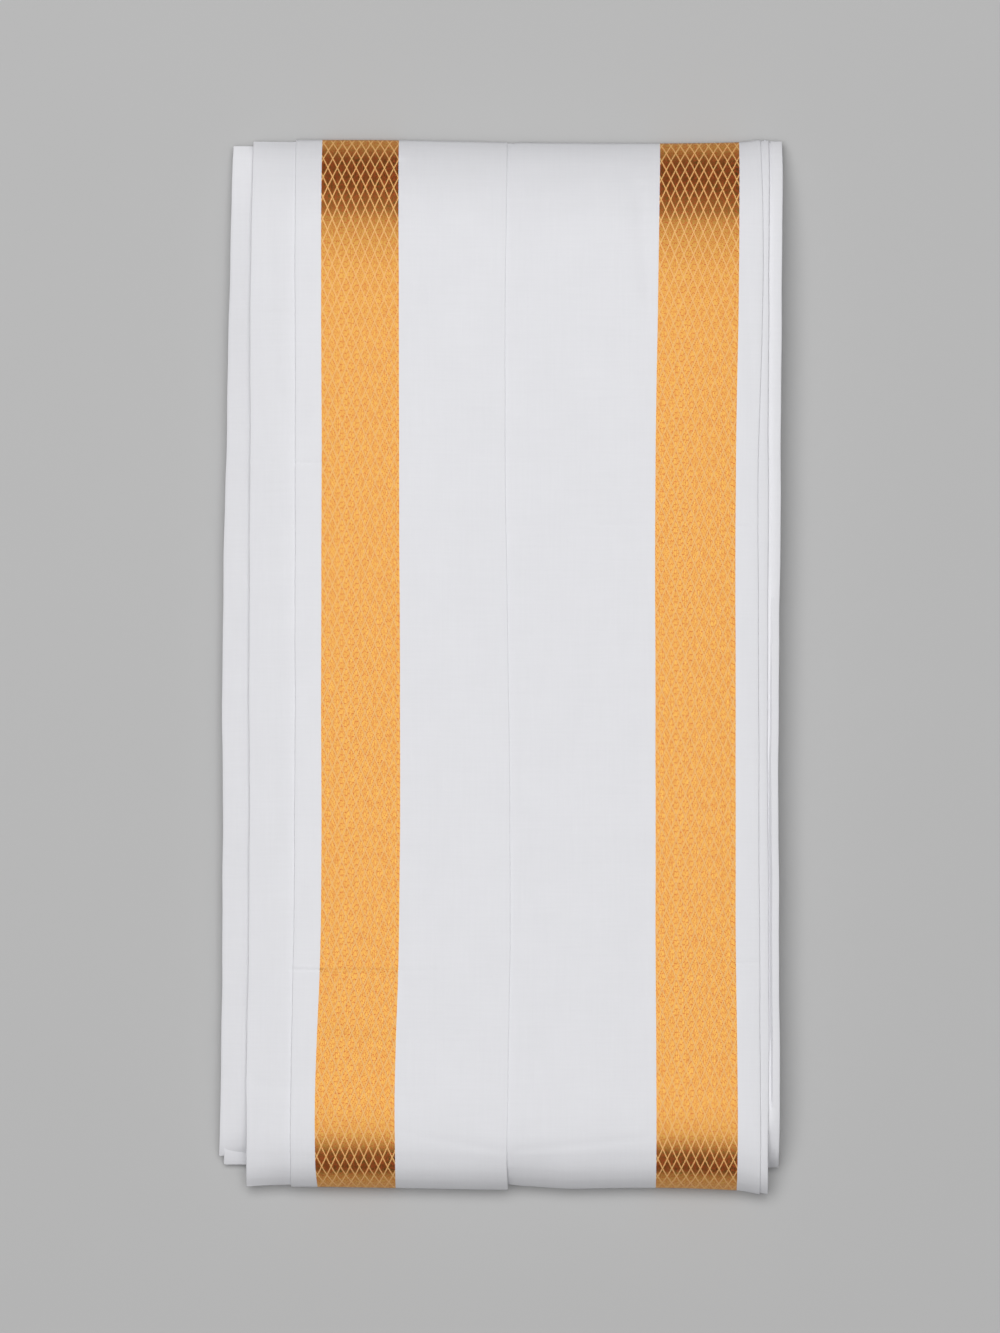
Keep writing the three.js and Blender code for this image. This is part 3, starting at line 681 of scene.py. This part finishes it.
def lower_surface(side, x, turn_y):
    """Middle-line points of the second segment for x by stations, with its round ends."""
    facts = LOWER_SIDES[side]
    kind, place = turn_y
    y_top = np.clip(place, facts["wrapEnd"], facts["foldEnd"])[:, None] + 0 * x
    z_top = lower_height(side, x, y_top) + relief(x, y_top)
    # where the back layer covers it, it stays below that layer
    under_edge = (x - edge(facts["inner"], y_top)) * facts["inward"]
    covered = smoothstep(under_edge, -1.4, -0.2)
    share = climb(y_top, facts["foldEnd"], facts["wrapEnd"])[0]
    room = top_height(x, y_top) - 2.5 - 1.6 * (1 - share)
    z_top = z_top - np.maximum(z_top - room, 0) * covered
    angle = place[:, None]
    fold_nose, wrap_nose = 3.0, facts["wrapNose"]
    y = np.select([kind[:, None] == 0, kind[:, None] == 1, kind[:, None] == 2], [
        facts["foldEnd"] - fold_nose * (1 - np.cos(angle)) + 0 * x, y_top,
        facts["wrapEnd"] + wrap_nose * (1 - np.cos(angle)) + 0 * x])
    deepest = np.where(kind[:, None] == 0, LOWER_NOSE - 0.8, (LOWER_NOSE - 0.8) * wrap_nose / 3)
    drop = LOWER_NOSE - deepest * np.sin(angle) + 0 * x
    z = np.where(kind[:, None] == 1, z_top, drop)
    return np.stack([x, y, z], -1)


def second_segment(name, side, node):
    facts = LOWER_SIDES[side]
    inward = facts["inward"]
    ys = [y for y in top_places() if facts["wrapEnd"] < y < facts["foldEnd"]]
    ys = [facts["foldEnd"]] + ys + [facts["wrapEnd"]]
    turns = np.linspace(0, math.pi / 2, 8)
    kind = np.array([0] * 7 + [1] * len(ys) + [2] * 7)
    place = np.concatenate([turns[:0:-1], ys, turns[1:]])
    along = np.where(kind == 1, place, np.where(kind == 0, facts["foldEnd"], facts["wrapEnd"]))
    outer, inner = edge(facts["outer"], along), edge(facts["inner"], along) + inward * 4.0
    xs, depths = rolled(outer, inward, FIRST, reach=8.0)
    tops = between(outer + inward * (PLY / 2 + ROLL), inner, ends=(False, True))
    columns, depths = xs + tops, depths + [FIRST] * len(tops)
    if inward < 0:
        columns, depths = columns[::-1], depths[::-1]
    x = np.stack(columns, 1)
    points = lower_surface(side, x, (kind, place))
    across = lower_surface(side, x + 0.3, (kind, place)) - lower_surface(side, x - 0.3, (kind, place))
    normal = unit(np.cross(np.gradient(points, axis=0), across))
    middle = points - normal * np.array(depths)[None, :, None]
    pinch = np.ones(x.shape)
    pinch[0] = pinch[-1] = 0.35
    cloth = cloth_grid(middle, x, kind == 1)
    return piece(name, [shell(middle, cloth, pinch)], cotton_painted_lighter, node)


second_left_cloth = second_segment("second_left_cloth", "left", "second_segment_left")
second_right_cloth = second_segment("second_right_cloth", "right", "second_segment_right")

# ---- the hidden layers' folded edges -----------------------------------------------------

LEAF_PLY = 0.42


def leaf(line, inward, low, high, y, reach, end_round=1.0):
    """Shell of one folded edge that runs along the packet, rounded off at both ends."""
    from_end = np.minimum(y - y[0], y[-1] - y)
    opening = np.sqrt(np.clip(1 - (1 - np.clip(from_end / end_round, 0, 1)) ** 2, 0.02, 1))
    radius = np.maximum((high - low - LEAF_PLY) / 2, 0.12) * opening
    middle_z = (low + high) / 2
    nose = line + inward * (1 - opening) * end_round
    centre = nose + inward * (LEAF_PLY / 2 + radius)
    inner = np.maximum(reach, 3.0)
    columns = []
    for share in (1.0, 0.5, 0.12):
        columns.append((centre + inward * inner * share, middle_z + radius))
    for turn in np.linspace(math.pi / 2, -math.pi / 2, 9):
        columns.append((centre - inward * radius * math.cos(turn), middle_z + radius * math.sin(turn)))
    for share in (0.12, 0.5, 1.0):
        columns.append((centre + inward * inner * share, middle_z - radius))
    if inward > 0:
        columns = columns[::-1]
    middle = np.stack([np.stack([x, y, z], -1) for x, z in columns], 1)
    across = np.broadcast_to(np.arange(len(columns)) * 1.3, middle.shape[:2])
    pinch = np.ones(middle.shape[:2])
    pinch[0] = pinch[-1] = 0.3
    cloth = np.stack([across + line[:, None] * 0, np.broadcast_to(y[:, None], across.shape),
                      np.zeros(across.shape)], -1)
    return shell(middle, cloth, pinch, LEAF_PLY)


def leaf_places(low_end, high_end):
    ease = np.concatenate([np.linspace(0, 1.2, 6), np.linspace(2.2, 30, 10)])
    middle = np.linspace(low_end + 36, high_end - 36, 90)
    return np.concatenate([low_end + ease, middle, (high_end - ease)[::-1]])


# Each row is one fold under the second segment: its share of the height, how far its edge stays
# inside the one above, and how far its ends stop short of the lip at -Y and of +Y.
LOWER_LEAVES = [
    (0.00, 0.12, 1.9, 2.2, 2.4),
    (0.12, 0.27, 0.9, 1.5, 1.2),
    (0.27, 0.40, 2.3, 2.0, 2.9),
    (0.40, 0.56, 1.2, 1.9, 0.6),
    (0.56, 0.70, 0.6, 1.1, 2.2),
    (0.70, 0.86, 1.8, 0.7, 1.4),
    (0.86, 1.00, 1.0, 0.0, 0.9),
]
UPPER_LEAVES = [
    (0.00, 0.34, 1.6, 6.0, 6.0),
    (0.34, 0.70, 0.7, 5.4, 5.0),
    (0.70, 1.00, 1.8, 5.8, 6.4),
]


def side_leaves(side):
    facts = LOWER_SIDES[side]
    inward = facts["inward"]
    parts = []
    for i, (low, high, inset, wrap_short, fold_short) in enumerate(LOWER_LEAVES):
        lowest, highest = facts["leafEnds"]
        y = leaf_places(lowest + wrap_short, highest - fold_short)
        near_end = smoothstep(y, facts["wrapEnd"] + 7, facts["wrapEnd"] + 1)
        inset = inset + (max(facts["endInset"], inset) - inset) * near_end
        line = edge(facts["outer"], y) + inward * (inset + wander(y, i + 3.3, 0.3) * (1 - near_end))
        share = climb(y, facts["foldEnd"], lowest)[0]
        lip = LOWER_NOSE - 2.1
        ceiling = lip + (facts["outerHeight"] - 1.2 - lip) * share
        uneven = 1 + 0.05 * np.sin(y / 37.0 + i * 2.1)
        z_low = 0.15 + (ceiling - 0.15) * low + 0.04
        z_high = 0.15 + (ceiling - 0.15) * high * (uneven if high < 1 else 1) - 0.04
        parts.append(leaf(line, inward, z_low, z_high, y, 16.0))
    for i, (low, high, inset, wrap_short, fold_short) in enumerate(UPPER_LEAVES):
        y = leaf_places(-247.0 + wrap_short, 249.0 - fold_short)
        line = edge(facts["inner"], y) + inward * (inset + wander(y, i + 8.1, 0.25))
        floor = np.minimum(lower_height(side, line, y), top_height(line, y) - 4.6) - 1.0
        ceiling = top_height(line, y) - 2 * LAYER - 0.1
        ceiling = np.maximum(ceiling, floor + 1.6)
        parts.append(leaf(line, inward, floor + (ceiling - floor) * low + 0.03,
                          floor + (ceiling - floor) * high - 0.03, y, 14.0))
    return parts


def nested_wraps(side):
    """Edges of the layers inside the wrap at -Y."""
    facts = LOWER_SIDES[side]
    inward = facts["inward"]
    keep = ((KIND == TOP) & (ALONG < -214)) | (KIND == WRAP) | ((KIND == UNDER) & (ALONG < -206))
    parts = []
    for depth, inset in ((2.95, 1.1), (3.95, 2.2)):
        line = edge(facts["inner"], ALONG) + inward * inset
        columns = between(line, line + inward * 12, step=2.0)
        if inward < 0:
            columns = columns[::-1]
        x = np.stack(columns, 1)
        middle = layer(x, np.full(x.shape, depth))[keep]
        cloth = np.stack([x[keep], middle[..., 1], np.zeros(middle.shape[:2])], -1)
        parts.append(shell(middle, cloth, None, 0.5))
    return parts


def filling():
    """Rounded body of the layers that no one sees, well inside every edge."""
    y = np.concatenate([np.linspace(-239, -200, 16), np.linspace(-190, 190, 40), np.linspace(198, 234, 12)])
    left, right = edge("backLeft", y) + 4.5, edge("backRight", y) - 4.0
    shares = np.concatenate([[0.0, 0.01, 0.03], np.linspace(0.06, 0.94, 30), [0.97, 0.99, 1.0]])
    x = left[:, None] + (right - left)[:, None] * shares[None]
    grid_y = np.broadcast_to(y[:, None], x.shape)
    top = top_height(x, grid_y) - 4.4 + np.minimum(relief(x, grid_y), 0)
    bottom = np.full(x.shape, 2.5) + 1.2 * smoothstep(grid_y, 205, 222)
    top = np.maximum(top, bottom + 0.4)
    middle_z, half = (top + bottom) / 2, (top - bottom) / 2
    rows, columns = x.shape
    vertices = np.concatenate([np.stack([x, grid_y, middle_z + half], -1).reshape(-1, 3),
                               np.stack([x, grid_y, middle_z - half], -1).reshape(-1, 3)])
    flat = np.stack([x, grid_y, middle_z], -1)[::-1]
    flipped = shell(flat, np.zeros(flat.shape))
    order = np.arange(rows * columns).reshape(rows, columns)[::-1].ravel()
    return np.concatenate([vertices[:rows * columns][order], vertices[rows * columns:][order]]), \
        flipped[1], flipped[2]


hidden_folds = piece("hidden_folds", side_leaves("left") + side_leaves("right")
                     + nested_wraps("left") + nested_wraps("right"),
                     cotton_painted_lighter, "hidden_layers")
inner_filling = piece("inner_filling", [filling()], cotton_painted_lighter)

# ---- cut ends under the fold at +Y -------------------------------------------------------

def cut_ply(low, setback, wave):
    """One raw-ended layer that shows under the fold end, with its narrow turned hem."""
    x = np.linspace(-111, 117, 120)
    end = curve(SPANS, "x", "foldEnd", x) - setback + wander(x, wave, 0.35)
    insets = [26.0 - setback, 18, 12, 8, 5, 3.4, 3.0, 2.4, 1.2, 0.4, 0.12, 0.0]
    hem = [0, 0, 0, 0, 0, 0, 0.1, 0.14, 0.14, 0.1, 0.02, 0]
    rows = [np.stack([x, end - inset, np.full(x.shape, low + lift)], -1)
            for inset, lift in zip(insets, hem)]
    middle = np.stack(rows, 0)
    pinch = np.ones(middle.shape[:2])
    pinch[:, 0] = pinch[:, -1] = 0.4
    pinch[-1], pinch[-2] = 0.3, 0.8
    cloth = np.stack([middle[..., 0], middle[..., 1], np.zeros(pinch.shape)], -1)
    middle = middle[::-1]
    return shell(middle, cloth[::-1], pinch[::-1], 0.42)


cut_end_plies = piece("cut_end_plies", [cut_ply(1.75, 3.0, 1.3), cut_ply(2.3, 4.6, 5.2)],
                      cotton_painted_lighter, "cut_ends")

# ---- floor, light and camera -------------------------------------------------------------

FLOOR_GREY = 0.491


def floor_material():
    m = Material("floor")
    where = m.node("ShaderNodeTexCoord").outputs["Object"]
    grain = m.noise(where, 3, 0.6, scale=9.0)
    colour = m.mix(grain, (FLOOR_GREY * 0.99,) * 3 + (1,), (FLOOR_GREY * 1.01,) * 3 + (1,))
    return m.finish(m.node("ShaderNodeBsdfPrincipled", {
        "Base Color": colour, "Roughness": 0.9, "Specular IOR Level": 0.1}))


floor_mesh = bpy.data.meshes.new("floor")
half = 9.0
corners = [(-half, -half, 0), (half, -half, 0), (half, half, 0), (-half, half, 0)]
floor_mesh.from_pydata(corners, [], [(0, 1, 2, 3)])
floor_mesh.materials.append(floor_material())
floor = bpy.data.objects.new("floor", floor_mesh)
floor.location.z = -0.0002
bpy.context.scene.collection.objects.link(floor)

softbox = bpy.data.lights.new("softbox", "AREA")
softbox.shape = "DISK"
softbox.size = 1.9
softbox.energy = 45.8
softbox_object = bpy.data.objects.new("softbox", softbox)
softbox_object.location = (-0.22, 0.42, 2.6)
softbox_object.rotation_euler = (math.atan2(-0.42, 2.6), math.atan2(-0.22, 2.6), 0)
softbox_object.visible_camera = False
softbox_object.visible_glossy = False
bpy.context.scene.collection.objects.link(softbox_object)

# A wide scrim overhead that fades out all round, tipped a little towards -Y.
SCRIM_AXIS = (0.0, -0.04, 0.9992)
SCRIM = [                 # cosine of the angle from its middle, and brightness
    (0.0, 0.02),
    (0.5, 0.03),
    (0.643, 0.055),
    (0.766, 0.14),
    (0.829, 0.32),
    (0.883, 0.53),
    (0.94, 0.735),
    (0.985, 0.905),
    (1.0, 1.0),
]
SCRIM_STRENGTH = 1.5

world = bpy.data.worlds.new("studio")
world.use_nodes = True
tree = world.node_tree
background = tree.nodes["Background"]
direction = tree.nodes.new("ShaderNodeTexCoord")
towards = tree.nodes.new("ShaderNodeVectorMath")
towards.operation = "DOT_PRODUCT"
towards.inputs[1].default_value = SCRIM_AXIS
tree.links.new(direction.outputs["Generated"], towards.inputs[0])
ramp = tree.nodes.new("ShaderNodeValToRGB")
ramp.color_ramp.interpolation = "EASE"
stops = ramp.color_ramp.elements
for position, brightness in SCRIM[1:-1]:
    stops.new(position)
for stop, (position, brightness) in zip(stops, SCRIM):
    stop.position = position
    stop.color = (brightness, brightness, brightness, 1)
tree.links.new(towards.outputs["Value"], ramp.inputs[0])
tree.links.new(ramp.outputs[0], background.inputs[0])
background.inputs[1].default_value = SCRIM_STRENGTH
bpy.context.scene.world = world

LENS, SENSOR = 200.0, 36.0
FIELD = 0.6305            # metres seen along the picture's long side
MID_HEIGHT = 0.015

camera = bpy.data.cameras.new("camera")
camera.lens = LENS
camera.sensor_width = SENSOR
camera.sensor_fit = "AUTO"
camera.clip_end = 50
camera_object = bpy.data.objects.new("camera", camera)
camera_object.location = (0, 0, MID_HEIGHT + FIELD * LENS / SENSOR)
bpy.context.scene.collection.objects.link(camera_object)
bpy.context.scene.camera = camera_object
bpy.context.scene.view_settings.view_transform = "Standard"
bpy.context.scene.view_settings.look = "None"
